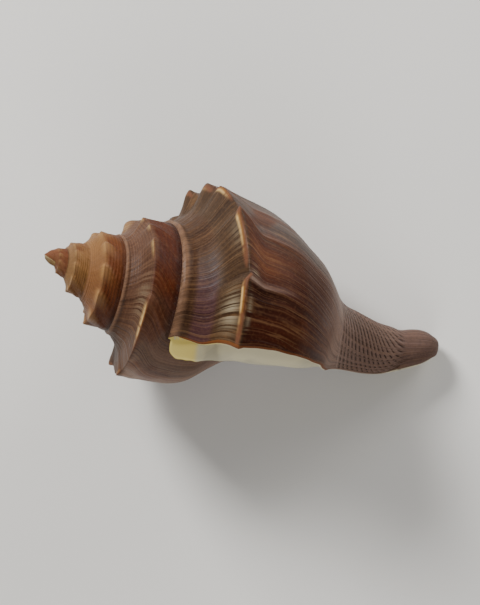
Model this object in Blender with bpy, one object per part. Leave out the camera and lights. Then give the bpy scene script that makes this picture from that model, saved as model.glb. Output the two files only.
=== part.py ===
# Spiral melongena shell: one natural piece, grown as one tapering tube coiled round an axis
# Lengths are in millimetres and angles in degrees; the mesh is scaled to metres when it is made
# Growth is counted in turns before the lip: 0 is the lip, -1 is one whorl earlier
# The share u runs across a whorl: 0 at the suture, 1 at the tip of the canal

import math

import bpy
import numpy as np

# Driving sizes, measured from the photograph at a shell length of about 99 mm
shellLength = 98.8
sutureReach, sutureRadius = 30.1, 19.1
shoulderReach, shoulderRadius, shoulderDrop = 37.9, 31.3, 5.0
apexSink = 0.2
waistReach, waistLimit = 88.0, 71.0
wall, lipWall = 1.8, 1.15
lipTurn = 29.0

# How fast the tube grows: the size falls to 0.6 of itself one turn back
growthRate, growthBend = 0.478, 0.0307

# Shares across the whorl where the shoulder, the next suture and the canal lie
shoulderShare, sutureShare, waistShare = 0.22, 0.34, 0.74

# Mesh counts
rowsPerTurn, spireTurns = 60, 5
rampColumns, spireColumns, allColumns = 4, 8, 25
hollowTurns, hollowStep = 1.12, 1 / 30

# The whorl's ramp from suture to shoulder: share of the way, along the axis, outwards
rampShape = [(0, 0, 0), (0.30, 0.42, 0.17), (0.62, 0.72, 0.42), (0.86, 0.90, 0.80), (1, 1, 1)]

# The body below the shoulder: share of the way to the waist, share of the shoulder's radius
bodyShape = [(0, 1), (0.12, 1.0), (0.25, 0.998), (0.36, 0.988), (0.46, 0.962), (0.58, 0.895), (0.68, 0.815),
             (0.77, 0.72), (0.86, 0.60), (0.95, 0.47), (1.06, 0.32), (1.3, 0.05)]

# The neck round the siphonal canal: place along the axis, radius
neckShape = [(40, 10.6), (50, 10.4), (60, 9.9), (69, 9.3), (74, 8.7), (79, 7.35), (84, 6.55), (88, 6.0), (92, 5.3),
             (95, 4.1), (97, 2.9), (98.3, 1.6), (98.8, 0.0)]

# Growth lines sweep across the whorl: share u, degrees ahead of the suture; the lip has a sweep of its own
growthSweep = [(0, 0), (0.08, -9), (0.16, -16), (0.22, -17), (0.34, 0), (0.50, 0), (0.60, 4), (0.68, 10),
               (0.74, 20), (0.82, 34), (0.90, 41), (1, 44)]
lipSweep = [(0, 0), (0.08, -9), (0.16, -16), (0.22, -18), (0.34, -20), (0.50, -20.5), (0.62, -20), (0.68, -12),
            (0.74, 4), (0.82, 24), (0.90, 36), (1, 44)]

# The hollow's lowest place along the axis, by turns back from the lip: the canal closes over it
hollowFloor = [(0, 95.6), (0.1, 94.0), (0.2, 90.5), (0.3, 86), (0.4, 78), (0.5, 69.5), (0.75, 56), (1.0, 45.5),
               (1.3, 36)]

# Shoulder nodes: start, peak and end in turns, height. The two tall ones are on the side it lies on
nodes = [(-0.102, -0.088, -0.012, 2.3), (-0.200, -0.188, -0.100, 2.1), (-0.275, -0.262, -0.185, 1.7),
         (-0.312, -0.297, -0.262, 1.8), (-0.365, -0.353, -0.305, 2.4), (-0.432, -0.415, -0.37, 1.9),
         (-0.516, -0.500, -0.44, 4.0), (-0.585, -0.567, -0.515, 4.5), (-0.655, -0.640, -0.59, 1.8),
         (-0.740, -0.725, -0.67, 1.5), (-0.775, -0.765, -0.745, 1.2), (-0.825, -0.805, -0.78, 1.3),
         (-1.035, -1.010, -0.82, 0.8), (-1.165, -1.150, -1.06, 0.9), (-1.225, -1.210, -1.17, 0.7),
         (-1.285, -1.270, -1.235, 0.7)]
oldNodeSpacing, oldNodeHeight = 0.057, 1.0

# The direction that points down when the shell lies on its two tall nodes and its canal:
# along the axis, away from the side in the photograph, across
restDown = (0.32353, -0.94608, 0.01595)

shellColour = (0.19, 0.075, 0.03)


def curve(x, points):
    # A smooth curve through the points that never overshoots them
    xs = np.array([p[0] for p in points], float)
    ys = np.array([p[1] for p in points], float)
    step = np.diff(xs)
    slope = np.diff(ys) / step
    tangent = np.zeros(len(xs))
    tangent[0], tangent[-1] = slope[0], slope[-1]
    for i in range(1, len(xs) - 1):
        if slope[i - 1] * slope[i] > 0:
            a, b = 2 * step[i] + step[i - 1], step[i] + 2 * step[i - 1]
            tangent[i] = (a + b) / (a / slope[i - 1] + b / slope[i])
    x = np.clip(np.asarray(x, float), xs[0], xs[-1])
    k = np.clip(np.searchsorted(xs, x, side="right") - 1, 0, len(step) - 1)
    t = (x - xs[k]) / step[k]
    q = 1 - t
    return (ys[k] * (1 + 2 * t) * q * q + step[k] * tangent[k] * t * q * q
            + ys[k + 1] * t * t * (3 - 2 * t) - step[k] * tangent[k + 1] * t * t * q)


def ease(x):
    x = np.clip(x, 0, 1)
    return x * x * (3 - 2 * x)


def softMin(a, b, width):
    h = np.clip(0.5 + 0.5 * (b - a) / width, 0, 1)
    return b + (a - b) * h - width * h * (1 - h)


def softMax(a, b, width):
    return -softMin(-a, -b, width)


def growth(turn):
    return np.exp(growthRate * turn - growthBend * turn * turn)


def suture(turn):
    return sutureReach * growth(turn) - apexSink, sutureRadius * growth(turn)


def shoulder(turn):
    # The shoulder drops towards the canal near the lip, and is worn a little on the whorl before
    dip = 1 - 0.05 * ease(1 - abs(turn + 1.27) / 0.28) - 0.03 * ease((-1.0 - turn) / 0.2)
    reach = shoulderReach * growth(turn) + shoulderDrop * ease((turn + 0.36) / 0.36) - apexSink
    return reach, shoulderRadius * growth(turn) * dip


def waist(turn):
    return softMin(waistReach * growth(turn) ** 1.34, waistLimit, 8.0)


def bend(reach):
    # The canal curves away from the straight axis
    return -(3.0 * ease((reach - 54) / 24) + 5.4 * np.clip((reach - 82) / 18, 0, None) ** 1.45)


def pillar(turn, reach):
    # Inside the aperture the neck thins to the central pillar
    wide = 0.16 + 0.045 * ease((reach - 46) / 8) * ease((76 - reach) / 8)
    low = 0.50 - 0.20 * ease((reach - 60) / 35)
    return curve(reach, neckShape) * (low + (1 - low) * ease((turn + 1) / wide))


def flank(turn, reach):
    # The radius from the shoulder down to the canal, a little slimmer on the side it lies on
    top, radius = shoulder(turn)
    low = waist(turn)
    slim = 1 - 0.05 * ease(1 - abs(turn + 0.56) / 0.22) * ease((reach - top) / 8)
    body = radius * slim * curve(np.clip((reach - top) / (low - top), 0, 1.3), bodyShape)
    return softMax(body, pillar(turn, reach), 2.4)


def nodeHeight(turn):
    height = np.zeros_like(turn)
    for start, peak, end, top in nodes:
        rise = np.where(turn < peak, ease((turn - start) / (peak - start)), ease((end - turn) / (end - peak)))
        height = np.maximum(height, top * rise)
    phase = (turn + 1.30) / oldNodeSpacing
    phase = phase - np.floor(phase)
    old = oldNodeHeight * growth(turn) * np.where(phase < 0.25, ease(phase / 0.25), ease((1 - phase) / 0.75))
    return np.where(turn < -1.30, old, height)


def nodeSpread(u):
    # Each node fades into a fold on the ramp above it and on the body below it
    ramp = ease((u - shoulderShare * 0.35) / (shoulderShare * 0.65)) ** 1.3
    return np.where(u < shoulderShare, ramp, ease((0.50 - u) / (0.50 - shoulderShare)) ** 1.6)


def profile(turn, u, whole=False):
    # Place along the axis and radius. Whorls that the next one covers stop at the suture unless whole is set
    turn, u = np.broadcast_arrays(np.asarray(turn, float), np.asarray(u, float))
    sutureW, sutureR = suture(turn)
    shoulderW, shoulderR = shoulder(turn)
    nextW, nextR = suture(turn + 1)
    low = waist(turn)
    a = np.clip(u / shoulderShare, 0, 1)
    b = np.clip((u - shoulderShare) / (sutureShare - shoulderShare), 0, 1)
    c = np.clip((u - sutureShare) / (waistShare - sutureShare), 0, 1)
    e = np.clip((u - waistShare) / (1 - waistShare), 0, 1)
    rampW = sutureW + (shoulderW - sutureW) * curve(a, [(t, x) for t, x, y in rampShape])
    rampR = sutureR + (shoulderR - sutureR) * curve(a, [(t, y) for t, x, y in rampShape])
    lowW = np.where(u > waistShare, low + (shellLength - low) * (1 - (1 - e) ** 1.6),
                    shoulderW + (nextW - shoulderW) * b + (low - nextW) * c)
    lowR = flank(turn, lowW)
    if not whole:
        lowR = np.where(turn < -1 - 1e-9, shoulderR + (nextR - shoulderR) * b, lowR)
    lift = nodeHeight(turn) * nodeSpread(u) * np.where(turn < -1, ease((sutureShare - u) / 0.04), 1)
    reach = np.where(u <= shoulderShare, rampW, lowW) - 0.5 * lift
    radius = np.where(u <= shoulderShare, rampR, lowR) + 0.87 * lift
    return reach, np.where(u >= 1 - 1e-9, 0, radius)


def angle(turn, u):
    nearLip = ease((turn + 0.28) / 0.28)
    sweep = curve(u, growthSweep) * (1 - nearLip) * ease((turn + 5) / 0.5) + curve(u, lipSweep) * nearLip
    return 2 * math.pi * turn + np.radians(lipTurn + sweep)


def place(reach, radius, phi):
    return np.stack([reach, radius * np.cos(phi), radius * np.sin(phi) + bend(reach)], -1)


def columnShares():
    return np.concatenate([np.linspace(0, shoulderShare, rampColumns + 1),
                           np.linspace(shoulderShare, sutureShare, spireColumns - rampColumns + 1)[1:],
                           np.linspace(sutureShare, 1, allColumns - spireColumns + 1)[1:]])


def hollowLoop(back, u):
    # One section of the hollow: down the inside of the outer wall, then up the whorl that it wraps
    outer, inner = np.full(700, -back), -1 - back
    share = np.linspace(0, 0.995, 700)
    reach, radius = profile(outer, share, True)
    lift = nodeHeight(outer) * nodeSpread(share)
    reach, radius = reach + 0.5 * lift, radius - 0.87 * lift
    along, out = np.gradient(reach), np.gradient(radius)
    length = np.hypot(along, out)
    thick = (lipWall + (wall - lipWall) * ease(back / 0.12)) * (1 - 0.25 * ease((reach - 70) / 20))
    inW, inR = reach + out / length * thick, radius - along / length * thick
    gap = np.sqrt(((inW[:, None] - reach[None, :]) ** 2 + (inR[:, None] - radius[None, :]) ** 2).min(1))

    # The wall of the earlier whorl at the lip, and its columns' shares of the way down it
    innerW, _ = profile(-1.0, u[spireColumns + 1:allColumns])
    share0 = (innerW - innerW[0]) / (innerW[-1] - innerW[0])
    topStep = innerW[0] - suture(0.0)[0]
    top = suture(-back)[0] + topStep + (2.2 * growth(-back) ** 0.4 - topStep) * ease(back / 0.08)
    floor = float(curve(back, hollowFloor))

    # The lip's columns give the spacing down the outer wall
    lipW, lipR = profile(0.0, u)
    run = np.concatenate([[0], np.cumsum(np.hypot(np.diff(lipW), np.diff(lipR)))])
    spacing = run[1:allColumns] / run[allColumns - 1]
    behind = flank(inner, np.maximum(inW, shoulder(inner)[0]))
    keep = (gap > 0.96 * thick) & (inR > behind + 0.35 * thick) & (inW > top) & (inW < floor) & (share > 0.01)
    line = np.stack([inW, inR, share], 1)[keep]
    line = np.vstack([[top, float(flank(inner, top)), line[0, 2]], line])
    run = np.concatenate([[0], np.cumsum(np.hypot(np.diff(line[:, 0]), np.diff(line[:, 1])))])
    outW, outR, outU = (np.interp(spacing, run / run[-1], line[:, k]) for k in range(3))
    outerPoints = place(outW, outR, angle(np.full(len(outU), -back), outU))

    fineU = np.linspace(sutureShare, 0.999, 400)
    sweepU = np.interp(innerW, profile(-1.0, fineU)[0], fineU)
    wrapW = top + (floor - top) * share0
    phi = 2 * math.pi * inner + np.radians(lipTurn + curve(sweepU, growthSweep))
    return outerPoints, place(wrapW, flank(inner, wrapW), phi)


def roundLoop(points, amount):
    for _ in range(2):
        points = points + amount * ((np.roll(points, 1, 0) + np.roll(points, -1, 0)) / 2 - points)
    return points


def shellMesh():
    u = columnShares()
    points, faces, at = [], [], {}

    def add(point):
        points.append(tuple(float(c) for c in point))
        return len(points) - 1

    def face(*corners):
        kept = [c for k, c in enumerate(corners) if c not in corners[:k]]
        if len(kept) > 2:
            faces.append(kept)

    # Outside, whorl by whorl. A whorl's last column is the next one's suture, and the last turn runs to the tip
    last = spireTurns * rowsPerTurn
    apex = add((-0.25, 0, 0))
    tip = add(place(np.array(shellLength), 0.0, 0.0))
    for i in range(last + 1):
        turn = -spireTurns + i / rowsPerTurn
        count = allColumns if i >= last - rowsPerTurn else spireColumns
        reach, radius = profile(np.full(count + 1, turn), u[:count + 1])
        ring = place(reach, radius, angle(np.full(count + 1, turn), u[:count + 1]))
        for j in range(count + 1):
            if j == 0:
                at[i, j] = apex if i < rowsPerTurn else at[i - rowsPerTurn, spireColumns]
            elif j == spireColumns and i + rowsPerTurn <= last:
                at[i, j] = add(place(*suture(turn + 1), angle(turn + 1, 0.0)))
            else:
                at[i, j] = tip if j == allColumns else add(ring[j])
    for i in range(last):
        for j in range(allColumns if i >= last - rowsPerTurn else spireColumns):
            face(at[i, j], at[i + 1, j], at[i + 1, j + 1], at[i, j + 1])
    face(apex, *(at[0, j] for j in range(1, spireColumns + 1)))

    # The rim of the lip
    lip = [at[last, j] for j in range(allColumns + 1)]
    inner = [at[last - rowsPerTurn, j] for j in range(spireColumns + 1, allColumns)]
    rim = [inner[0]] + [add(p) for p in hollowLoop(0.0, u)[0]]
    for j in range(allColumns - 1):
        face(lip[j], rim[j], rim[j + 1], lip[j + 1])
    face(lip[-2], rim[-1], inner[-1], tip)

    # The hollow, section by section, closing to a rounded end
    before = rim + inner[::-1][:-1]
    section = None
    for k in range(1, int(hollowTurns / hollowStep + 0.001) + 1):
        back = k * hollowStep
        outerPoints, innerPoints = hollowLoop(back, u)
        section = roundLoop(np.vstack([innerPoints[:1], outerPoints, innerPoints[::-1][:-1]]), 0.5 * ease(back / 0.1))
        close = np.clip((back - hollowTurns + 0.13) / 0.13, 0, 1)
        centre = section.mean(0)
        section = centre + (section - centre) * max(math.sqrt(max(1 - close * close, 0)), 0.12 if close > 0 else 1)
        now = [add(p) for p in section]
        for a in range(len(now)):
            b = (a + 1) % len(now)
            face(before[a], now[a], now[b], before[b])
        before = now
    end = add(section.mean(0))
    for a in range(len(before)):
        face(before[a], end, before[(a + 1) % len(before)])
    return np.array(points), faces


def restFrame():
    # World X runs from the apex to the canal, Z is up
    up = -np.array(restDown) / np.linalg.norm(restDown)
    x = np.array([1.0, 0, 0]) - up[0] * up
    x /= np.linalg.norm(x)
    return np.array([x, np.cross(up, x), up])


def shellMaterial():
    material = bpy.data.materials.new("shell")
    material.use_nodes = True
    surface = material.node_tree.nodes["Principled BSDF"]
    surface.inputs["Base Color"].default_value = (*shellColour, 1)
    surface.inputs["Roughness"].default_value = 0.35
    surface.inputs["Metallic"].default_value = 0.0
    return material


def makeShell():
    points, faces = shellMesh()
    points = points @ restFrame().T
    low, high = points.min(0), points.max(0)
    points -= [(low[0] + high[0]) / 2, (low[1] + high[1]) / 2, low[2]]
    mesh = bpy.data.meshes.new("shell")
    mesh.from_pydata((points / 1000).tolist(), [], faces)
    mesh.materials.append(shellMaterial())
    shell = bpy.data.objects.new("shell", mesh)
    bpy.context.scene.collection.objects.link(shell)


for old in list(bpy.data.objects):
    bpy.data.objects.remove(old, do_unlink=True)
makeShell()
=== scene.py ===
# Spiral melongena shell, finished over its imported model
# Growth is counted in turns: 0 at the lip, and one less for each whorl before it.
# The share u runs across a whorl, from the suture (0) to the canal's tip (1).
import math

import bpy
import numpy as np
from mathutils import Matrix, Vector


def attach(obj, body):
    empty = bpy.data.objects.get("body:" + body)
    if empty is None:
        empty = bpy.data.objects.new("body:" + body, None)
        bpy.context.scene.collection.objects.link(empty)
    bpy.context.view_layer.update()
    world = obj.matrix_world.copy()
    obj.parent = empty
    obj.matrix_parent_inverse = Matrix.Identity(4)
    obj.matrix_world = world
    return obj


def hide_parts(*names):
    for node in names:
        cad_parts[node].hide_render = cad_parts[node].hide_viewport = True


# Growth of the shell, in millimetres and degrees
growthForm = {
    "length": 98.8, "sutureReach": 30.1, "sutureRadius": 19.1, "shoulderReach": 37.9, "shoulderRadius": 31.3,
    "shoulderDrop": 5.0, "apexSink": 0.2, "waistReach": 88.0, "waistLimit": 71.0, "wall": 1.8, "lipWall": 1.15,
    "lipTurn": 29.0, "rate": 0.478, "rateBend": 0.0307, "shoulderShare": 0.22, "sutureShare": 0.34,
    "waistShare": 0.74, "oldNodeSpacing": 0.098, "oldNodeHeight": 2.3, "oldNodesBefore": -1.30,
    "apexPoint": -0.25, "restDown": (0.32353, -0.94608, 0.01595)}
# The ramp above the shoulder: share of it, how far along the axis, how far outwards
rampShape = [(0, 0, 0), (0.30, 0.42, 0.17), (0.62, 0.72, 0.42), (0.86, 0.90, 0.80), (1, 1, 1)]
# Radius of the body, from the shoulder (0) to the waist (1)
bodyShape = [(0, 1), (0.12, 1.0), (0.25, 0.998), (0.36, 0.988), (0.46, 0.962), (0.58, 0.895), (0.68, 0.815),
             (0.77, 0.72), (0.86, 0.60), (0.95, 0.47), (1.06, 0.32), (1.3, 0.05)]
# Radius of the canal and of the pillar above it, by reach
neckShape = [(40, 10.6), (50, 10.4), (60, 9.9), (69, 8.9), (74, 8.2), (79, 7.35), (84, 6.55), (88, 6.0),
             (92, 5.3), (95, 4.1), (97, 2.9), (98.3, 1.6), (98.8, 0.0)]
# How many degrees a growth line, and the lip itself, lean back at each share
growthSweep = [(0, 0), (0.08, -9), (0.16, -16), (0.22, -17), (0.34, 0), (0.50, 0), (0.60, 4), (0.68, 10),
               (0.74, 20), (0.82, 34), (0.90, 41), (1, 44)]
lipSweep = [(0, 0), (0.02, -4.5), (0.05, -6), (0.085, -7.6), (0.12, -12), (0.147, -15.3), (0.184, -17.7),
            (0.22, -18.4), (0.31, -20), (0.37, -21.1), (0.42, -22), (0.49, -22), (0.55, -20.9),
            (0.605, -18.1), (0.661, -13.6), (0.70, -6), (0.725, 0), (0.746, 8), (0.765, 19), (0.785, 27),
            (0.82, 27), (0.85, 21), (0.875, 5), (0.90, -4), (0.94, -8), (1, -8)]
# How many turns past the lip the inner lip's glaze reaches
glazeEdge = [(0.36, 0.0), (0.38, 0.030), (0.43, 0.046), (0.52, 0.056), (0.57, 0.062), (0.64, 0.075),
             (0.68, 0.095), (0.72, 0.115), (0.76, 0.16), (1, 0.18)]
# How far down the hollow reaches, by turns back from the lip
hollowFloor = [(0, 95.6), (0.1, 94.0), (0.2, 90.5), (0.3, 86), (0.4, 78), (0.5, 69.5), (0.75, 56),
               (1.0, 45.5), (1.3, 36)]
# Where each shoulder node starts, peaks and ends, and its height
nodes = [(-0.091, -0.077, 0.036, 2.3), (-0.194, -0.182, -0.064, 2.1), (-0.272, -0.258, -0.190, 1.2),
         (-0.318, -0.300, -0.262, 1.5), (-0.375, -0.350, -0.326, 1.9), (-0.432, -0.415, -0.385, 0.4),
         (-0.516, -0.500, -0.44, 4.0), (-0.585, -0.567, -0.515, 4.5), (-0.655, -0.640, -0.59, 0.6),
         (-0.718, -0.695, -0.650, 1.5), (-0.775, -0.765, -0.745, 0.2), (-0.830, -0.807, -0.775, 1.0),
         (-1.035, -1.010, -0.82, 0.8), (-1.165, -1.150, -1.06, 0.9), (-1.225, -1.210, -1.17, 0.7),
         (-1.285, -1.270, -1.235, 0.7)]

# How finely the sheets are made
mesh = {"rowsPerTurn": 300, "spireTurns": 5, "rampColumns": 22, "spireColumns": 33, "allColumns": 115,
        "hollowTurns": 1.12, "hollowRows": 50, "rimRows": 5}

# The photograph's view: how the shell's axis lies in it, in degrees, and where its apex shows, in pixels
viewForm = {"axisDown": 18.4, "apexNearer": 12.5, "apexPixel": (44.7, 254.5), "frame": (480, 605),
            "focalPixels": 3000.0, "pixelsPerMm": 4.281, "sensorMm": 36.0, "farthest": 20}


def curve(x, points):
    # A smooth curve through the points that never overshoots them
    xs = np.array([p[0] for p in points], float)
    ys = np.array([p[1] for p in points], float)
    step = np.diff(xs)
    slope = np.diff(ys) / step
    tangent = np.zeros(len(xs))
    tangent[0], tangent[-1] = slope[0], slope[-1]
    for i in range(1, len(xs) - 1):
        if slope[i - 1] * slope[i] > 0:
            a, b = 2 * step[i] + step[i - 1], step[i] + 2 * step[i - 1]
            tangent[i] = (a + b) / (a / slope[i - 1] + b / slope[i])
    x = np.clip(np.asarray(x, float), xs[0], xs[-1])
    k = np.clip(np.searchsorted(xs, x, side="right") - 1, 0, len(step) - 1)
    t = (x - xs[k]) / step[k]
    q = 1 - t
    return (ys[k] * (1 + 2 * t) * q * q + step[k] * tangent[k] * t * q * q
            + ys[k + 1] * t * t * (3 - 2 * t) - step[k] * tangent[k + 1] * t * t * q)


def ease(x):
    x = np.clip(x, 0, 1)
    return x * x * (3 - 2 * x)


def softMin(a, b, width):
    h = np.clip(0.5 + 0.5 * (b - a) / width, 0, 1)
    return b + (a - b) * h - width * h * (1 - h)


def softMax(a, b, width):
    return -softMin(-a, -b, width)


def growth(turn):
    return np.exp(growthForm["rate"] * turn - growthForm["rateBend"] * turn * turn)


def suture(turn):
    size = growth(turn)
    return growthForm["sutureReach"] * size - growthForm["apexSink"], growthForm["sutureRadius"] * size


def shoulder(turn):
    # A little drawn in where the photograph shows it, and on the older whorls
    dip = 1 - 0.05 * ease(1 - abs(turn + 1.27) / 0.28) - 0.03 * ease((-1.0 - turn) / 0.2)
    drop = growthForm["shoulderDrop"] * ease((turn + 0.36) / 0.36)
    return (growthForm["shoulderReach"] * growth(turn) + drop - growthForm["apexSink"],
            growthForm["shoulderRadius"] * growth(turn) * dip)


def waist(turn):
    return softMin(growthForm["waistReach"] * growth(turn) ** 1.34, growthForm["waistLimit"], 8.0)


def bend(reach):
    # The canal bends away from the axis
    return -(3.0 * ease((reach - 54) / 24) + 5.4 * np.clip((reach - 82) / 18, 0, None) ** 1.45)


def pillar(turn, reach):
    # The column that the whorls turn around, thickened where the inner lip lies on it
    wide = 0.16 + 0.045 * ease((reach - 46) / 8) * ease((76 - reach) / 8)
    low = 0.50 - 0.20 * ease((reach - 60) / 35)
    thick = ease((turn + 0.98) / 0.08) * ease((-0.66 - turn) / 0.08) \
        * (0.6 * ease((reach - 40) / 8) * ease((72 - reach) / 8) + 1.3 * np.exp(-((reach - 69) / 3.5) ** 2))
    return curve(reach, neckShape) * (low + (1 - low) * ease((turn + 1) / wide)) + thick


def flank(turn, reach):
    top, radius = shoulder(turn)
    slim = 1 - 0.05 * ease(1 - abs(turn + 0.56) / 0.22) * ease((reach - top) / 8)
    body = radius * slim * curve(np.clip((reach - top) / (waist(turn) - top), 0, 1.3), bodyShape)
    # Glaze thickens the whorl under the opening
    body = body + 0.9 * ease((turn + 0.98) / 0.08) * ease((-0.68 - turn) / 0.08) * ease((reach - top - 9) / 9)
    # The back is fuller just above the waist
    body = body + ease((turn + 0.55) / 0.15) * ease((-0.08 - turn) / 0.08) \
        * ease((reach - 57) / 8) * ease((76 - reach) / 7)
    return softMax(body, pillar(turn, reach), 4.6)


# What stands out from the even growth, in millimetres. Widths are in shares
reliefForm = {
    "farDrawnIn": 1.6, "foldPart": 0.66, "crestPart": 0.40, "crestWidths": (0.012, 0.014), "ridgeHeight": 0.45,
    "rampWrinkle": 0.15, "bodyWrinkle": 0.05, "cordHeight": 0.42, "cordGroove": 0.25, "cordKnob": 0.9,
    "glazeThickness": 0.45, "apexBlunt": 1.05, "apexFuller": 0.20, "lobeStart": 88.7, "lobeSlant": 1.6,
    "lobeSwell": 0.63, "lobeRestSwell": 0.12, "lobeNeck": 0.5, "grooveStart": 74.8, "grooveSpacing": 1.33,
    "grooveSlant": 4.4, "grooveTipSlant": 1.6, "rimRound": 0.42}


def nodeHeight(turn, sharp=False):
    # The shoulder is a little drawn in on the far side of the top, so that its knobs stand clear
    height = np.zeros_like(turn) - reliefForm["farDrawnIn"] * ease((turn + 0.46) / 0.03) \
        * ease((-0.310 - turn) / 0.025)
    for start, peak, end, top in nodes:
        up, down = np.clip((turn - start) / (peak - start), 0, 1), np.clip((end - turn) / (end - peak), 0, 1)
        if sharp:
            # Below the shoulder each fold is a creased edge, steep on its older side
            rise = np.where(turn < peak, up ** 1.5, down ** 1.7)
        else:
            rise = np.where(turn < peak, ease(up), ease(down))
        height = np.maximum(height, height * (1 - rise) + top * rise)
    # The knobs of the older whorls follow at even steps
    phase = (turn - growthForm["oldNodesBefore"]) / growthForm["oldNodeSpacing"]
    phase = phase - np.floor(phase)
    old = growthForm["oldNodeHeight"] * growth(turn) * np.where(phase < 0.25, ease(phase / 0.25),
                                                                ease((1 - phase) / 0.75))
    return np.where(turn < growthForm["oldNodesBefore"], old, height)


def crestAlong(turn):
    # How far along its own crest each turn is; -1 where there is none
    along = np.full_like(turn, -1.0)
    for start, peak, end, top in sorted(nodes):
        here = (turn > start - 0.004) & (turn < end)
        along = np.where(here, np.clip((turn - start) / (end - start), 0, 1), along)
    return along


def crestShare(turn):
    # Each crest starts a little below the shoulder, hooks up over it and then follows it
    along = crestAlong(turn)
    hook = 0.012 * ease(1 - along / 0.12) - 0.013 * ease((along - 0.04) / 0.12) * ease((1.3 - along) / 0.6)
    hook = np.where(along < 0, 0, hook) * np.where(turn > -0.21, 1, 0.4)
    return growthForm["shoulderShare"] + hook - 0.012 * ease((-0.25 - turn) / 0.02) * ease((turn + 0.45) / 0.05)


def crestLine(turn, u, ramp, body):
    # The older knobs of the last whorl are rounder
    wide = 1 + 1.1 * ease((-0.215 - turn) / 0.02) * ease((turn + 0.5) / 0.05) \
        + 0.7 * ease((-0.6 - turn) / 0.05)
    away = (u - crestShare(turn)) / wide
    return np.exp(-(away / np.where(away < 0, ramp, body)) ** 2)


def foldRidge(turn, u, width):
    # The raised edge that runs from each hood down over the whorl
    line = np.zeros_like(turn)
    for start, peak, end, top in nodes[:4]:
        line = np.maximum(line, np.exp(-((turn - peak + 0.004) / width) ** 2))
    return line * ease((u - growthForm["shoulderShare"]) / 0.02) * ease((0.50 - u) / 0.26)


def nodeLift(turn, u):
    # A broad fold with a narrow crest standing on it, and the fold's edge running on down the whorl
    s = growthForm["shoulderShare"]
    over = ease((u - s * 0.30) / (s * 0.70)) ** 1.3
    under = ease((0.60 - u) / (0.60 - s)) ** 1.3
    crease = ease((u - s) / 0.05)
    fold = nodeHeight(turn) * (1 - crease) + nodeHeight(turn, True) * crease
    crest = nodeHeight(turn) * crestLine(turn, u, *reliefForm["crestWidths"])
    return (reliefForm["foldPart"] * fold * np.where(u < s, over, under) + reliefForm["crestPart"] * crest
            + reliefForm["ridgeHeight"] * foldRidge(turn, u, 0.006))


def profile(turn, u, whole=False, raised=True):
    # Place along the axis and radius. Whorls that the next one covers stop at the suture unless whole is set
    turn, u = np.broadcast_arrays(np.asarray(turn, float), np.asarray(u, float))
    s, n, h = growthForm["shoulderShare"], growthForm["sutureShare"], growthForm["waistShare"]
    sutureW, sutureR = suture(turn)
    shoulderW, shoulderR = shoulder(turn)
    nextW, nextR = suture(turn + 1)
    low = waist(turn)
    a, b = np.clip(u / s, 0, 1), np.clip((u - s) / (n - s), 0, 1)
    c, e = np.clip((u - n) / (h - n), 0, 1), np.clip((u - h) / (1 - h), 0, 1)
    rampW = sutureW + (shoulderW - sutureW) * curve(a, [(t, x) for t, x, y in rampShape])
    # The oldest whorls are rounder
    rampR = sutureR + (shoulderR - sutureR) * (curve(a, [(t, y) for t, x, y in rampShape])
                                               + 1.15 * ease((-1.35 - turn) / 0.8) * a * (1 - a))
    lowW = np.where(u > h, low + (growthForm["length"] - low) * (1 - (1 - e) ** 1.6),
                    shoulderW + (nextW - shoulderW) * b + (low - nextW) * c)
    lowR = flank(turn, lowW)
    if not whole:
        lowR = np.where(turn < -1 - 1e-9, shoulderR + (nextR - shoulderR) * b, lowR)
    reach, radius = np.where(u <= s, rampW, lowW), np.where(u <= s, rampR, lowR)
    if raised:
        lift = nodeLift(turn, u) * np.where(turn < -1, ease((n - u) / 0.04), 1)
        reach, radius = reach - 0.5 * lift, radius + 0.87 * lift
    return reach, np.where(u >= 1 - 1e-9, 0, radius)


def angle(turn, u):
    # Growth lines lean into the lip's own line over the last quarter turn
    nearLip = ease((turn + 0.28) / 0.28)
    sweep = curve(u, growthSweep) * (1 - nearLip) * ease((turn + 5) / 0.5) + curve(u, lipSweep) * nearLip
    return 2 * math.pi * turn + np.radians(growthForm["lipTurn"] + sweep)


def place(reach, radius, phi):
    return np.stack([reach, radius * np.cos(phi), radius * np.sin(phi) + bend(reach)], -1)


def columnShares():
    # Closest together at the suture's cord and at the shoulder's crest
    ramp, spire, last = mesh["rampColumns"], mesh["spireColumns"], mesh["allColumns"]
    s, n = growthForm["shoulderShare"], growthForm["sutureShare"]
    even = np.linspace(0, 1, ramp + 1)
    return np.concatenate([s * (even - 0.098 * np.sin(2 * math.pi * even)),
                           (s + (n - s) * np.linspace(0, 1, spire - ramp + 1) ** 1.35)[1:],
                           np.linspace(n, 1, last - spire + 1)[1:]])


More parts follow.
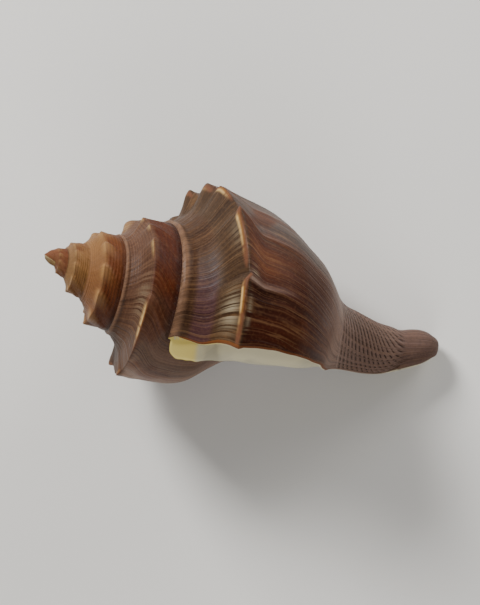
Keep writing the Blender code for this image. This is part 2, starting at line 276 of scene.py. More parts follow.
def wrinkle(turn, u):
    # Growth wrinkles that stand a little out of the smooth form
    s = growthForm["shoulderShare"]
    waves = (0.5 * np.sin(2 * math.pi * (turn * 23 + 0.5 * np.sin(turn * 19)))
             + 0.4 * np.sin(2 * math.pi * turn * 41 + 9 * u)
             + 0.3 * np.sin(2 * math.pi * (turn * 61 + 0.3 * np.sin(turn * 31))))
    patch = 0.55 + 0.45 * np.sin(turn * 14 + 9 * u)
    amount = np.where(u < s, reliefForm["rampWrinkle"] * ease((u - 0.01) / 0.04) * ease((s - u) / 0.03 + 0.3),
                      reliefForm["bodyWrinkle"] * ease((u - s) / 0.05))
    # A rounded cord runs along the last whorls' suture and swells into a knob
    swell = 1 + reliefForm["cordKnob"] * np.exp(-((turn + 0.262) / 0.022) ** 2) \
        + 0.22 * np.sin(47 * turn) + 0.16 * np.sin(113 * turn + 1)
    cord = (reliefForm["cordHeight"] * np.exp(-((u - 0.012) / 0.009) ** 2) * swell
            - reliefForm["cordGroove"] * np.exp(-((u - 0.040) / 0.013) ** 2)) * ease((turn + 2.4) / 0.8)
    # The glaze of the inner lip lies on the whorl before with a thick edge
    glaze = reliefForm["glazeThickness"] * ease((turn + 1) / 0.010) \
        * ease((curve(u, glazeEdge) - turn - 1) / 0.010) * ease((0.7 - u) / 0.1)
    return (waves * patch * amount + cord) * growth(turn) * ease((0.97 - u) / 0.06) + glaze


def lobeLine(phi):
    # Where the canal's smooth end lobe begins, slanting from the back to the front
    return reliefForm["lobeStart"] + reliefForm["lobeSlant"] * ease((phi + math.pi / 2) / 2.1)


def outerPoints(turn, u):
    reach, radius = profile(turn, u)
    phi = angle(turn, u)
    # A blunt first whorl
    reach = reach - reliefForm["apexBlunt"] * ease((-3.9 - turn) / 0.55) \
        * np.clip(1 - u / growthForm["shoulderShare"], 0, 1)
    radius = radius + reliefForm["apexFuller"] * ease((-4.1 - turn) / 0.4) * ease((turn + 5) / 0.3) \
        * np.sin(math.pi * np.clip(u / growthForm["sutureShare"], 0, 1))
    # A slight neck before the canal's end lobe, which is flatter on the side that it rests on
    past = reach - lobeLine(phi)
    swell = reliefForm["lobeRestSwell"] + reliefForm["lobeSwell"] * ease((np.cos(phi) + 1) / 0.9)
    lobe = swell * np.exp(-((past - 6.0) / 3.0) ** 2) - reliefForm["lobeNeck"] * np.exp(-(past / 1.7) ** 2)
    radius = radius + lobe * (turn > -0.999) * ease(radius / 2.0) * ease((turn + 0.999) / 0.05)
    # The relief leaves alone the seams that other sheets share
    calm = ease(u / 0.006) * ease((turn + 5) / 0.4) * ease(-turn / 0.004)
    calm = calm * np.where(turn <= -1, ease((growthForm["sutureShare"] - u) / 0.01), 1)
    lift = wrinkle(turn, u) * calm
    return place(reach - 0.3 * lift * (u < growthForm["shoulderShare"]), radius + lift, phi)


def hollowLoop(back, u):
    # One section of the hollow: down the inside of the outer wall, then up the whorl that it wraps
    spire, last = mesh["spireColumns"], mesh["allColumns"]
    outer, inner = np.full(700, -back), -1 - back
    share = np.linspace(0, 0.995, 700)
    reach, radius = profile(outer, share, True, False)
    along, out = np.gradient(reach), np.gradient(radius)
    length = np.hypot(along, out)
    thick = (growthForm["lipWall"] + (growthForm["wall"] - growthForm["lipWall"]) * ease(back / 0.12)) \
        * (1 - 0.25 * ease((reach - 70) / 20))
    inW, inR = reach + out / length * thick, radius - along / length * thick
    gap = np.sqrt(((inW[:, None] - reach[None, :]) ** 2 + (inR[:, None] - radius[None, :]) ** 2).min(1))
    innerW, _ = profile(-1.0, u[spire + 1:last])
    wrapShare = (innerW - innerW[0]) / (innerW[-1] - innerW[0])
    topStep = innerW[0] - suture(0.0)[0]
    top = suture(-back)[0] + topStep + (2.2 * growth(-back) ** 0.4 - topStep) * ease(back / 0.08)
    floor = float(curve(back, hollowFloor))
    lipW, lipR = profile(0.0, u)
    run = np.concatenate([[0], np.cumsum(np.hypot(np.diff(lipW), np.diff(lipR)))])
    spacing = run[1:last] / run[last - 1]
    # Only the points that keep the wall's thickness and stay clear of the whorl before
    behind = flank(inner, np.maximum(inW, shoulder(inner)[0]))
    keep = (gap > 0.96 * thick) & (inR > behind + 0.35 * thick) & (inW > top) & (inW < floor) & (share > 0.01)
    line = np.stack([inW, inR, share], 1)[keep]
    line = np.vstack([[top, float(flank(inner, top)), line[0, 2]], line])
    run = np.concatenate([[0], np.cumsum(np.hypot(np.diff(line[:, 0]), np.diff(line[:, 1])))])
    outW, outR, outU = (np.interp(spacing, run / run[-1], line[:, k]) for k in range(3))
    down = place(outW, outR, angle(np.full(len(outU), -back), outU))
    fineU = np.linspace(growthForm["sutureShare"], 0.999, 400)
    sweepU = np.interp(innerW, profile(-1.0, fineU)[0], fineU)
    wrapW = top + (floor - top) * wrapShare
    phi = 2 * math.pi * inner + np.radians(growthForm["lipTurn"] + curve(sweepU, growthSweep))
    return down, place(wrapW, flank(inner, wrapW), phi)


def roundLoop(points, amount, times):
    for _ in range(times):
        points = points + amount * ((np.roll(points, 1, 0) + np.roll(points, -1, 0)) / 2 - points)
    return points


def restFrame():
    up = -np.array(growthForm["restDown"]) / np.linalg.norm(growthForm["restDown"])
    x = np.array([1.0, 0, 0]) - up[0] * up
    x /= np.linalg.norm(x)
    return np.array([x, np.cross(up, x), up])


def apexPlace(node):
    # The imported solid's point nearest the spire's end is the apex that growth starts from
    places = np.empty(len(node.data.vertices) * 3)
    node.data.vertices.foreach_get("co", places)
    places = places.reshape(-1, 3)
    return places[places[:, 0].argmin()]


def toWorld(points, apex):
    local = (points - np.array([growthForm["apexPoint"], 0, 0])) / 1000
    return local @ restFrame().T + apex


def addSheet(name, points, uv, marks):
    # A grid primitive, each of its points grown to its own place. uv holds the share and the age
    rows, columns = points.shape[0] - 1, points.shape[1] - 1
    bpy.ops.object.select_all(action="DESELECT")
    bpy.ops.mesh.primitive_grid_add(x_subdivisions=columns, y_subdivisions=rows, size=1)
    sheet = bpy.context.object
    sheet.name = name
    count = len(sheet.data.vertices)
    at = np.empty(count * 3)
    sheet.data.vertices.foreach_get("co", at)
    at = at.reshape(-1, 3)
    column = np.rint((at[:, 0] + 0.5) * columns).astype(int)
    row = np.rint((at[:, 1] + 0.5) * rows).astype(int)
    sheet.data.vertices.foreach_set("co", points[row, column].astype(np.float32).ravel())
    corner = np.empty(len(sheet.data.loops), np.int32)
    sheet.data.loops.foreach_get("vertex_index", corner)
    sheet.data.uv_layers[0].name = "growth"
    grown = uv[row[corner], column[corner]].astype(np.float32).ravel()
    sheet.data.uv_layers["growth"].data.foreach_set("uv", grown)
    for mark, values in marks.items():
        layer = sheet.data.attributes.new(mark, "FLOAT", "POINT")
        layer.data.foreach_set("value", values[row, column].astype(np.float32))
    return sheet


def spot(turn, u, place, share, wide, high):
    return np.exp(-((turn - place) / wide) ** 2 - ((u - share) / high) ** 2)


def outsideMarks(turn, u):
    # What the material needs to know about each point of the outside
    s = growthForm["shoulderShare"]
    reach, _ = profile(turn, u)
    knob = np.clip(nodeHeight(turn) / (1.5 * growth(turn)), 0, 1)
    along = crestAlong(turn)
    young = turn > -0.9
    thick = (1.1 - 0.35 * np.clip(along, 0, 1)) * (1 - 0.4 * ease((-0.21 - turn) / 0.02) * young) \
        * (1 + 0.8 * ease((-0.9 - turn) / 0.05))
    crest = crestLine(turn, u, 0.010 * thick, 0.011 * thick) * ease(knob * 1.6)
    crest = crest * (1 - 0.25 * ease((-0.9 - turn) / 0.2)) * (1 - 0.25 * ease((-0.21 - turn) / 0.02))
    pale = ease((along - 0.10) / 0.10) * ease((0.66 - along) / 0.36) \
        * (1 - 0.7 * ease((-0.255 - turn) / 0.02) * young)
    # Across the crest: its ramp side is painted lighter as lit and its other side darker as shaded
    side = np.clip(0.5 + (u - crestShare(turn)) / 0.022, 0, 1)
    knobs = ease(nodeHeight(turn) / (growthForm["oldNodeHeight"] * growth(turn))) \
        * np.exp(-((u - 0.20) / 0.05) ** 2) * ease((-1.25 - turn) / 0.05)
    # The glazed inner lip spreads over the whorl before, a little past the lip
    edge = curve(u, glazeEdge) + 0.001 * np.sin(90 * u)
    glaze = np.where(turn < -1 + 1e-6, -1.0, np.minimum((edge - (turn + 1)) / 0.02, (u - 0.365) / 0.015))
    glaze = np.clip(np.where((turn < -0.999) & (u > 0.345), 1.0, glaze), -1, 1)
    # Spiral grooves on the canal slant towards its tip
    around = angle(turn, u) - angle(np.zeros_like(turn), u)
    slant = reliefForm["grooveSlant"] + reliefForm["grooveTipSlant"] * ease((reach - 76) / 12)
    cords = (reach - reliefForm["grooveStart"] - slant * around) / reliefForm["grooveSpacing"]
    cordRoom = ease((reach - 63) / 2.0) * ease((cords + 1.0) / 0.5) \
        * ease((lobeLine(angle(turn, u)) - reach) / 1.2)
    # Worn pale patches beside the youngest crests
    bloom = (0.95 * spot(turn, u, -0.042, 0.165, 0.026, 0.026)
             + 0.30 * spot(turn, u, -0.150, 0.190, 0.022, 0.018)
             + 0.65 * spot(turn, u, -0.040, 0.240, 0.020, 0.012)
             + 0.55 * spot(turn, u, -0.092, 0.256, 0.010, 0.022)
             + 0.3 * spot(turn, u, -1.01, 0.16, 0.06, 0.05))
    # Lighter and darker fields between the folds
    tone = (spot(turn, u, -0.128, 0.32, 0.036, 0.10) + 0.5 * spot(turn, u, -0.020, 0.50, 0.03, 0.10)
            - 0.8 * spot(turn, u, -0.062, 0.31, 0.026, 0.09) - 0.7 * spot(turn, u, -0.125, 0.09, 0.036, 0.035)
            - 0.5 * spot(turn, u, -0.165, 0.27, 0.014, 0.05))
    # Growth lines lean further towards the canal than the sections do
    line = turn - 0.014 * ease((u - 0.30) / 0.3) * ease((0.8 - u) / 0.1)
    return {"crest": crest, "inside": glaze, "cords": cords, "cordRoom": cordRoom, "line": line,
            "bloom": np.clip(bloom, 0, 1), "cream": 1 - ease((u - 0.50) / 0.15),
            "lipLine": np.clip(1 + turn / 0.012, 0, 1), "pale": pale, "side": side, "tone": tone,
            "knobs": knobs, "ridge": foldRidge(turn, u, 0.0035)}


def makeShell(apex):
    u = columnShares()
    rows, turns = mesh["rowsPerTurn"], mesh["spireTurns"]
    spire, last = mesh["spireColumns"], mesh["allColumns"]
    tip = place(np.array(growthForm["length"]), 0.0, 0.0)
    sheets = []

    # Spire: every whorl before the last, ended at the suture of the next
    turn = -turns + np.arange((turns - 1) * rows + 1) / rows
    grid, share = np.meshgrid(turn, u[:spire + 1], indexing="ij")
    points = outerPoints(grid, share)
    points[:, spire] = place(*suture(turn + 1), angle(turn + 1, 0.0))
    points[:, 0] = place(*suture(turn), angle(turn, 0.0))
    points[:rows, 0] = (growthForm["apexPoint"], 0, 0)
    sheets.append(addSheet("spire", toWorld(points, apex), np.stack([share, (grid + turns) / turns], -1),
                           outsideMarks(grid, share)))

    # The last whorl, down to the tip of the canal
    turn = -1 + np.arange(rows + 1) / rows
    grid, share = np.meshgrid(turn, u, indexing="ij")
    points = outerPoints(grid, share)
    points[:, 0] = place(*suture(turn), angle(turn, 0.0))
    points[0, :spire + 1] = outerPoints(np.full(spire + 1, -1.0), u[:spire + 1])
    points[0, spire] = place(*suture(0.0), angle(0.0, 0.0))
    points[:, last] = tip
    lip = points[-1]
    wrapped = points[0]
    sheets.append(addSheet("lastWhorl", toWorld(points, apex), np.stack([share, (grid + turns) / turns], -1),
                           outsideMarks(grid, share)))

    # The lip's rounded rim, from the outside over to the hollow
    down, _ = hollowLoop(0.0, u)
    inner = np.vstack([wrapped[spire + 1:spire + 2], down, wrapped[last - 1:last]])
    ahead = lip - outerPoints(np.full(last + 1, -0.006), u)
    ahead /= np.maximum(np.linalg.norm(ahead, axis=1, keepdims=True), 1e-6)
    t = np.linspace(0, 1, mesh["rimRows"] + 1)[:, None, None]
    thick = np.linalg.norm(lip - inner, axis=1)[None, :, None]
    each = np.arange(last + 1)
    fade = ease(each / 6)[None, :, None] * ease((last - each) / 8)[None, :, None]
    bulge = ahead[None] * np.sin(math.pi * t) * reliefForm["rimRound"] * thick * fade
    points = lip[None] * (1 - t) + inner[None] * t + bulge
    points[1:-1, 0], points[1:-1, last] = lip[0], lip[last]
    share = np.broadcast_to(u, points.shape[:2])
    age = np.ones_like(share)
    marks = {k: np.zeros_like(share) for k in ("crest", "cords", "cordRoom", "bloom", "line")}
    marks["cream"] = 0.9 * (1 - ease((share - 0.06) / 0.20))
    marks["inside"] = np.broadcast_to(-0.35 + 1.35 * t[:, :, 0], share.shape)
    marks["lipLine"] = np.ones_like(share)
    sheets.append(addSheet("rim", toWorld(points, apex), np.stack([share, age], -1), marks))

    # The hollow, section by section, to a rounded end
    backs = mesh["hollowTurns"] * (np.linspace(0, 1, mesh["hollowRows"] + 1) ** 1.35)
    loops = []
    for back in backs:
        down, up = hollowLoop(back, u)
        if back == 0:
            up = wrapped[spire + 1:last]
        loop = np.vstack([up[:1], down, up[::-1][:-1]])
        if back > 0:
            loop = roundLoop(loop, 0.5 * float(ease(back / 0.05)), 6)
            close = float(np.clip((back - mesh["hollowTurns"] + 0.13) / 0.13, 0, 1))
            centre = loop.mean(0)
            loop = centre + (loop - centre) * math.sqrt(max(1 - close * close, 0))
        loops.append(np.vstack([loop, loop[:1]]))
    points = np.array(loops)
    share = np.broadcast_to(np.linspace(0, 1, points.shape[1]), points.shape[:2])
    age = 1 - np.broadcast_to((backs / turns)[:, None], share.shape)
    marks = {k: np.zeros_like(share) for k in ("crest", "cords", "cordRoom", "bloom", "line", "lipLine")}
    marks["cream"] = np.full_like(share, 0.35)
    marks["inside"] = 1 + np.broadcast_to(backs[:, None], share.shape)
    sheets.append(addSheet("hollow", toWorld(points, apex), np.stack([share, age], -1), marks))

    # One closed skin
    print("sheets grown:", len(sheets))
    bpy.ops.object.select_all(action="DESELECT")
    for sheet in sheets:
        sheet.select_set(True)
    bpy.context.view_layer.objects.active = sheets[1]
    bpy.ops.object.join()
    shell = bpy.context.object
    shell.name = shell.data.name = "melongenaShell"
    bpy.ops.object.mode_set(mode="EDIT")
    bpy.ops.mesh.select_all(action="SELECT")
    bpy.ops.mesh.remove_doubles(threshold=1e-7)
    bpy.ops.mesh.dissolve_degenerate(threshold=1e-8)
    bpy.ops.mesh.select_all(action="DESELECT")
    bpy.ops.mesh.select_mode(type="EDGE")
    bpy.ops.mesh.select_non_manifold()
    bpy.ops.mesh.fill()
    bpy.ops.mesh.select_all(action="SELECT")
    bpy.ops.mesh.normals_make_consistent(inside=False)
    bpy.ops.object.mode_set(mode="OBJECT")
    bpy.ops.object.shade_smooth()
    return shell


def linear(code):
    # An sRGB hex colour as Blender's linear one
    parts = [int(code[k:k + 2], 16) / 255 for k in (1, 3, 5)]
    return tuple(c / 12.92 if c <= 0.04045 else ((c + 0.055) / 1.055) ** 2.4 for c in parts) + (1.0,)


def addNode(tree, kind, inputs=None, **settings):
    # Adds a node with its settings. An input is a value, or another node's output to link
    node = tree.nodes.new(kind)
    for key, value in settings.items():
        setattr(node, key, value)
    for key, value in (inputs or {}).items():
        socket = node.inputs[key]
        if isinstance(value, bpy.types.NodeSocket):
            tree.links.new(value, socket)
        else:
            socket.default_value = value
    return node


floorForm = {"size": 6, "colour": "#dedbd5", "roughness": 0.8}


def plainFloor():
    bpy.ops.object.select_all(action="DESELECT")
    bpy.ops.mesh.primitive_plane_add(size=floorForm["size"], location=(0, 0, 0))
    floor = bpy.context.object
    floor.name = "floor"
    paper = bpy.data.materials.new("palePaper")
    paper.use_nodes = True
    surface = paper.node_tree.nodes["Principled BSDF"]
    surface.inputs["Base Color"].default_value = linear(floorForm["colour"])
    surface.inputs["Roughness"].default_value = floorForm["roughness"]
    floor.data.materials.append(paper)


def aimCamera(apex):
    # The photograph's camera, from where the apex shows in it and how the axis lies
    nearer, down = math.radians(viewForm["apexNearer"]), math.radians(viewForm["axisDown"])
    along = np.array([math.cos(nearer), math.sin(nearer), 0.0])
    below = np.array([0.0, 0.0, 1.0])
    toward = np.array([-math.sin(nearer), math.cos(nearer), 0.0])
    right = math.cos(down) * along - math.sin(down) * below
    lower = math.sin(down) * along + math.cos(down) * below
    wide, high = viewForm["frame"]
    focal, scale = viewForm["focalPixels"], viewForm["pixelsPerMm"]
    ahead = (-focal * toward + (wide / 2 - viewForm["apexPixel"][0]) * right
             + (high / 2 - viewForm["apexPixel"][1]) * lower)
    reach = np.linalg.norm(ahead)
    ahead /= reach
    right = right - right.dot(ahead) * ahead
    right /= np.linalg.norm(right)
    turned = restFrame()
    where = apex + turned @ (toward * focal / scale) / 1000
    right, ahead = turned @ right, turned @ ahead
    upward = np.cross(right, ahead)
    bpy.ops.object.select_all(action="DESELECT")
    bpy.ops.object.camera_add()
    camera = bpy.context.object
    camera.name = "photographView"
    turnedTo = [[right[k], upward[k], -ahead[k], where[k]] for k in range(3)]
    camera.matrix_world = Matrix(turnedTo + [[0, 0, 0, 1]])
    camera.data.sensor_width = viewForm["sensorMm"]
    camera.data.lens = viewForm["sensorMm"] * reach / max(wide, high)
    camera.data.clip_end = viewForm["farthest"]
    bpy.context.scene.camera = camera


studio = {"target": (0.0, 0.0, 0.02),
          "lights": [("key", (-0.62, 0.42, 0.52), 0.30, 13.5), ("fill", (0.30, -0.80, 0.40), 0.6, 4.0),
                     ("back", (0.30, 0.80, 0.24), 0.5, 5.0)],
          "air": "#f2f2f4", "airStrength": 0.30}


def addLights():
    for name, where, size, power in studio["lights"]:
        bpy.ops.object.select_all(action="DESELECT")
        bpy.ops.object.light_add(type="AREA", location=where)
        light = bpy.context.object
        light.name = name
        light.data.size = size
        light.data.energy = power
        light.rotation_euler = (Vector(studio["target"]) - Vector(where)).to_track_quat("-Z", "Y").to_euler()
    world = bpy.data.worlds.new("studio")
    world.use_nodes = True
    air = world.node_tree.nodes["Background"]
    air.inputs["Color"].default_value = linear(studio["air"])
    air.inputs["Strength"].default_value = studio["airStrength"]
    bpy.context.scene.world = world


shellLook = {
    # Colour along the growth, from the apex (0) to the lip (1), on the ramp and below the shoulder
    "ramp": [(0, "#a8946c"), (0.03, "#8e6e48"), (0.07, "#7e5634"), (0.15, "#7a4a30"), (0.25, "#7e563c"),
             (0.34, "#826040"), (0.44, "#82603a"), (0.54, "#805a32"), (0.61, "#744c2e"), (0.68, "#624434"),
             (0.78, "#503628"), (0.90, "#402a1b"), (1, "#3b2618")],
    # On the body the lighter stops at 0.805 and 0.84 are painted light: the start of the last whorl, under the
    # opening, is lit from below with a grey-brown sheen
    "body": [(0, "#a08658"), (0.03, "#7c5634"), (0.15, "#74442c"), (0.25, "#764e32"), (0.38, "#74502c"),
             (0.46, "#66401e"), (0.58, "#54290f"), (0.66, "#441c0b"), (0.785, "#40190a"), (0.805, "#5d4436"),
             (0.84, "#846b5b"), (0.88, "#3e1a0c"), (0.955, "#411c08"), (0.975, "#3a1707"), (1, "#361307")],
    "canal": "#7a6155", "lobe": "#5c463e", "waist": "#927c70", "cordSuture": "#7c5c46", "bloom": "#857861",
    "crest": "#7c5428", "crestPale": "#cdaa6e", "crestBrown": "#4c2a14", "hood": "#5e3b28", "knob": "#a88250",
    "ridge": "#8a7366", "streak": "#7e5c3c", "dark": "#180804", "rust": "#52240a", "chestnut": "#643413",
    "mauve": "#42292a", "olive": "#3d2c1c", "callus": "#e2cc74", "ivory": "#c9c0a0", "shade": "#a29c8c",
    "rose": "#96644c", "lip": "#703e19", "groove": "#1c0e0b", "cord": "#6f574e", "sheenGrey": "#584e49",
    # Heights of the relief, in metres
    "fineRelief": 0.00005, "middleRelief": 0.00009, "threadRelief": 0.000035, "grooveRelief": 0.00014,
    "thinRelief": 0.00005, "speckRelief": 0.00006,
    # Bare shell is satin and the glazed inside smoother. Aragonite bends light by about 1.53
    "smoothest": 0.38, "roughest": 0.52, "glazeSmoother": 0.12, "ior": 1.53, "specularLevel": 0.09}


def shellMaterial():
    # A carnivorous snail's shell: aragonite, grown line by line, satin where it is bare and glazed inside
    horn = bpy.data.materials.new("melongenaShell")
    horn.use_nodes = True
    tree = horn.node_tree
    look = shellLook
    surface = tree.nodes["Principled BSDF"]
    growthMap = addNode(tree, "ShaderNodeUVMap", uv_map="growth").outputs["UV"]
    parts = addNode(tree, "ShaderNodeSeparateXYZ", {0: growthMap})
    share, age = parts.outputs["X"], parts.outputs["Y"]
    mark = {name: addNode(tree, "ShaderNodeAttribute", attribute_name=name).outputs["Fac"]
            for name in ("crest", "inside", "cords", "cordRoom", "bloom", "line", "cream", "lipLine", "pale",
                         "side", "tone", "ridge", "knobs")}
    local = addNode(tree, "ShaderNodeTexCoord").outputs["Object"]

    def grain(scale, detail=2.0, seed=0.0, rough=0.5, vector=None):
        spread = addNode(tree, "ShaderNodeMapping",
                         {"Vector": vector or along, "Scale": scale, "Location": (seed, seed, 0)})
        return addNode(tree, "ShaderNodeTexNoise", {"Vector": spread.outputs[0], "Scale": 1.0,
                                                    "Detail": detail, "Roughness": rough}).outputs["Fac"]

    def span(value, low, high, bottom=0.0, top=1.0):
        return addNode(tree, "ShaderNodeMapRange", {0: value, 1: low, 2: high, 3: bottom, 4: top},
                       interpolation_type="SMOOTHSTEP").outputs[0]

    def both(a, b, way="MULTIPLY"):
        return addNode(tree, "ShaderNodeMath", {0: a, 1: b}, operation=way).outputs[0]

    def shades(value, stops):
        node = addNode(tree, "ShaderNodeValToRGB", {"Fac": value})
        while len(node.color_ramp.elements) < len(stops):
            node.color_ramp.elements.new(0.5)
        for k, (at, colour) in enumerate(stops):
            node.color_ramp.elements[k].position = at
            node.color_ramp.elements[k].color = linear(colour)
        return node.outputs["Color"]

    # Growth lines wander a little: a soft 12 mm cloud moves them by up to a third of a millimetre
    cloud = grain((85, 85, 85), 2.0, 0.0, 0.5, local)
    speck = grain((420, 420, 420), 2.0, 4.0, 0.5, local)
    pit = grain((1500, 1500, 1500), 1.5, 9.0, 0.6, local)
    line = both(mark["line"], both(cloud, 0.006), "ADD")
    along = addNode(tree, "ShaderNodeCombineXYZ", {0: share, 1: line}).outputs[0]
    # Lines about 0.5, 1.3 and 6 mm apart on the last whorl, and thin pale lines between them
    fine = grain((2.6, 400, 1), 1.0, 3.1)
    middle = grain((2.2, 150, 1), 1.5, 7.7)
    broad = grain((1.3, 30, 1), 2.0, 1.9)
    thin = both(grain((0.8, 52, 1), 0.5, 11.3, 0.4), 0.5, "SUBTRACT")
    thin = span(both(thin, 0.0, "ABSOLUTE"), 0.004, 0.016, 1.0, 0.0)
    thinner = both(grain((1.2, 110, 1), 0.5, 23.0, 0.4), 0.5, "SUBTRACT")
    thinner = span(both(thinner, 0.0, "ABSOLUTE"), 0.008, 0.030, 1.0, 0.0)

    # Fine spiral threads on the older whorls, about 0.45 mm apart on the last but one
    threads = both(both(both(share, 2 * math.pi / 0.0195), 0.0, "SINE"), span(age, 0.86, 0.70))
    below = span(both(share, both(cloud, 0.05), "ADD"), 0.236, 0.262)
    above = both(1.0, below, "SUBTRACT")
    low = span(share, 0.56, 0.74)
    last = span(age, 0.90, 0.94)
    lastRamp = both(last, above)
    layers = [
        (below, shades(age, look["body"])),
        # Painted sheen: the back of the last whorl below the shoulder is greyed, partly for its light growth
        # lines
        (both(both(below, span(age, 0.965, 0.957)), span(age, 0.87, 0.91, 0, 0.80)), look["sheenGrey"]),
        # Partly painted sheen: the canal is lighter for the grey sheen its upper part catches
        (both(low, both(span(share, 0.30, 0.36), 0.9)), look["canal"]),
        (both(span(share, 0.66, 0.72), span(share, 0.80, 0.74, 0, 0.4)), look["waist"]),
        (both(both(lastRamp, span(age, 0.968, 0.982)),
              both(span(share, 0.035, 0.055), span(share, 0.10, 0.125, 0.9, 0))), look["mauve"]),
        # Partly painted shade: the canal's end lobe is darker than the lit canal above it
        (span(share, 0.845, 0.875, 0, 0.9), look["lobe"]),
        (span(mark["tone"], 0.05, 1, 0, 0.45), look["chestnut"]),
        (span(mark["tone"], -0.05, -1, 0, 0.60), look["dark"]),
        (both(lastRamp, both(span(share, 0.105, 0.135), 0.7)), look["olive"]),
        (both(span(share, 0.028, 0.014), both(span(age, 0.50, 0.75), 0.6)), look["cordSuture"]),
        (both(both(span(cloud, 0.52, 0.66), span(share, 0.60, 0.50)), both(below, 0.60)), look["rust"]),
        (both(both(span(share, 0.030, 0.004), span(age, 0.46, 0.36, 0, 0.6)), span(age, 0.185, 0.215)),
         look["dark"]),
        (both(span(broad, 0.50, 0.36), both(span(age, 0.70, 0.84), 0.34)), look["dark"]),
        (both(span(middle, 0.50, 0.32), span(age, 0.60, 0.84, 0.10, 0.32)), look["dark"]),
        (both(span(fine, 0.50, 0.30), span(age, 0.60, 0.84, 0.10, 0.28)), look["dark"]),
        (both(span(middle, 0.56, 0.72), span(age, 0.60, 0.84, 0.05, 0.15)), look["streak"]),
        (both(span(fine, 0.55, 0.72), span(age, 0.60, 0.84, 0.05, 0.16)), look["streak"]),
        (both(span(threads, 0.1, 0.9), both(above, 0.20)), look["dark"]),
        (both(span(threads, -0.2, -0.9), both(above, 0.16)), look["streak"]),
        (both(both(thin, span(cloud, 0.40, 0.58)), both(span(age, 0.82, 0.93), 0.30)), look["streak"]),
        (span(pit, 0.48, 0.70, 0, 0.16), look["dark"]), (span(pit, 0.50, 0.32, 0, 0.08), look["streak"]),
        (both(both(thinner, span(cloud, 0.60, 0.44)), both(span(age, 0.80, 0.93), 0.25)), look["streak"]),
        # Painted shade on the whorl before, just above the suture, where the next whorl's edge overhangs it
        (both(both(span(share, 0.30, 0.34), span(age, 0.81, 0.79)), both(span(age, 0.5, 0.6), 0.6)),
         look["dark"]),
        (both(mark["bloom"], span(both(middle, fine, "ADD"), 0.88, 1.10)), look["bloom"]),
    ]
    # Canal: dark dashes in the spiral grooves, light cords between them
    wave = both(both(mark["cords"], 2 * math.pi), 0.0, "SINE")
    dash = both(span(wave, 0.35, 0.9), both(span(grain((3, 90, 1), 1.0, 5.0), 0.37, 0.50), mark["cordRoom"]))
    cordTop = both(span(wave, -0.3, -0.9), mark["cordRoom"])
    # A pale cord marks the waist, and a dark groove beside it
    waistCord = both(both(mark["cords"], -0.55, "SUBTRACT"), 0.0, "ABSOLUTE")
    waistCord = both(span(waistCord, 0.42, 0.16), mark["cordRoom"])
    layers += [(both(cordTop, 0.40), look["cord"]), (both(dash, 0.82), look["groove"]),
               (both(waistCord, 0.55), look["waist"])]
    # Crests: worn pale, with painted light across them: cream on the side of the ramp, which faces the light,
    # brown on the shaded other side; brown at the hood
    bands = grain((2, 70, 1), 1.5, 31.0)
    wornAndLit = shades(mark["side"],
                  [(0.15, look["crestPale"]), (0.45, look["crest"]), (0.80, look["crestBrown"])])
    crestSkin = addNode(tree, "ShaderNodeMix", {0: both(mark["pale"], span(bands, 0.30, 0.48)),
                                                6: linear(look["hood"]), 7: wornAndLit},
                        data_type="RGBA").outputs[2]
    layers += [(both(mark["ridge"], 0.45), look["ridge"]), (both(mark["knobs"], 0.55), look["knob"])]
    layers += [(both(span(mark["crest"], 0.14, 0.74), span(age, 0.78, 0.84, 0.55, 1)), crestSkin)]
    # Inside and the glazed inner lip: cream by the suture, ivory beyond, rosy brown deep inside
    inner = span(both(mark["inside"], both(speck, 0.06), "ADD"), 0.0, 0.12)
    glaze = addNode(tree, "ShaderNodeMix", {0: span(both(mark["cream"], both(cloud, 1.2), "ADD"), 0.80, 1.30),
                                            6: linear(look["ivory"]), 7: linear(look["callus"])},
                    data_type="RGBA").outputs[2]
    lipEdge = both(both(span(mark["lipLine"], 0.86, 0.99), span(share, 0.80, 0.70)),
                   span(mark["inside"], 0.16, 0.02))
    glaze = addNode(tree, "ShaderNodeMix", {0: both(span(cloud, 0.46, 0.60), 0.45), 6: glaze,
                                            7: linear(look["shade"])}, data_type="RGBA").outputs[2]
    layers += [(both(lipEdge, 0.75), look["lip"]), (inner, glaze),
               (both(span(mark["inside"], 1.05, 1.5), 0.7), look["rose"])]
    skin = shades(age, look["ramp"])
    for factor, colour in layers:
        colour = linear(colour) if isinstance(colour, str) else colour
        skin = addNode(tree, "ShaderNodeMix", {0: factor, 6: skin, 7: colour}, data_type="RGBA").outputs[2]
    tree.links.new(skin, surface.inputs["Base Color"])

    # Relief: growth lines, threads, cords and grooves
    height = both(both(fine, look["fineRelief"]), both(middle, look["middleRelief"]), "ADD")
    height = both(height, both(threads, look["threadRelief"]), "ADD")
    height = both(height, both(both(wave, mark["cordRoom"]), -look["grooveRelief"]), "ADD")
    height = both(height, both(both(thin, look["thinRelief"]), both(speck, look["speckRelief"]), "ADD"), "ADD")
    height = both(height, both(1.0, inner, "SUBTRACT"))
    relief = addNode(tree, "ShaderNodeBump", {"Height": height, "Distance": 1.0, "Strength": 1.0})
    tree.links.new(relief.outputs["Normal"], surface.inputs["Normal"])
    satin = both(span(middle, 0.3, 0.7, look["smoothest"], look["roughest"]),
                 both(inner, -look["glazeSmoother"]), "ADD")
    tree.links.new(satin, surface.inputs["Roughness"])
    surface.inputs["IOR"].default_value = look["ior"]
    surface.inputs["Specular IOR Level"].default_value = look["specularLevel"]
    print("material made:", len(tree.nodes), "nodes")
    return horn


def report(shell):
    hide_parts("shell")
    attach(shell, "root")


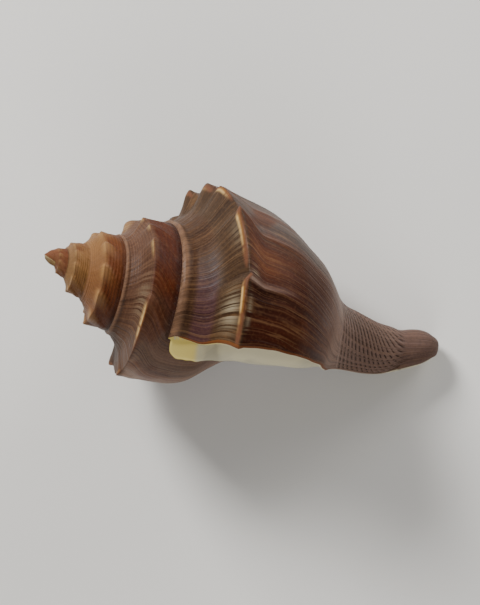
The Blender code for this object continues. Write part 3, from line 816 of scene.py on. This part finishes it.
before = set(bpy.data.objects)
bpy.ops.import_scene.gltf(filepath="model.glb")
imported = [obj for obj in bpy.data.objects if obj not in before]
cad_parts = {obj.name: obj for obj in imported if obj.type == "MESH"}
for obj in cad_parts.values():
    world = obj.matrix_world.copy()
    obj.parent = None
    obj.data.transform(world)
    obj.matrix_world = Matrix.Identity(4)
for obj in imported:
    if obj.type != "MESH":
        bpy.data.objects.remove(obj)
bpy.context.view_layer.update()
apex = apexPlace(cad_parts["shell"])
print("frame loaded, apex at", apex.round(4).tolist())
shell = makeShell(apex)
shell.data.materials.clear()
shell.data.materials.append(shellMaterial())
print("shell made:", len(shell.data.polygons), "faces")
plainFloor()
addLights()
aimCamera(apex)
print("floor, lights and camera placed")
report(shell)
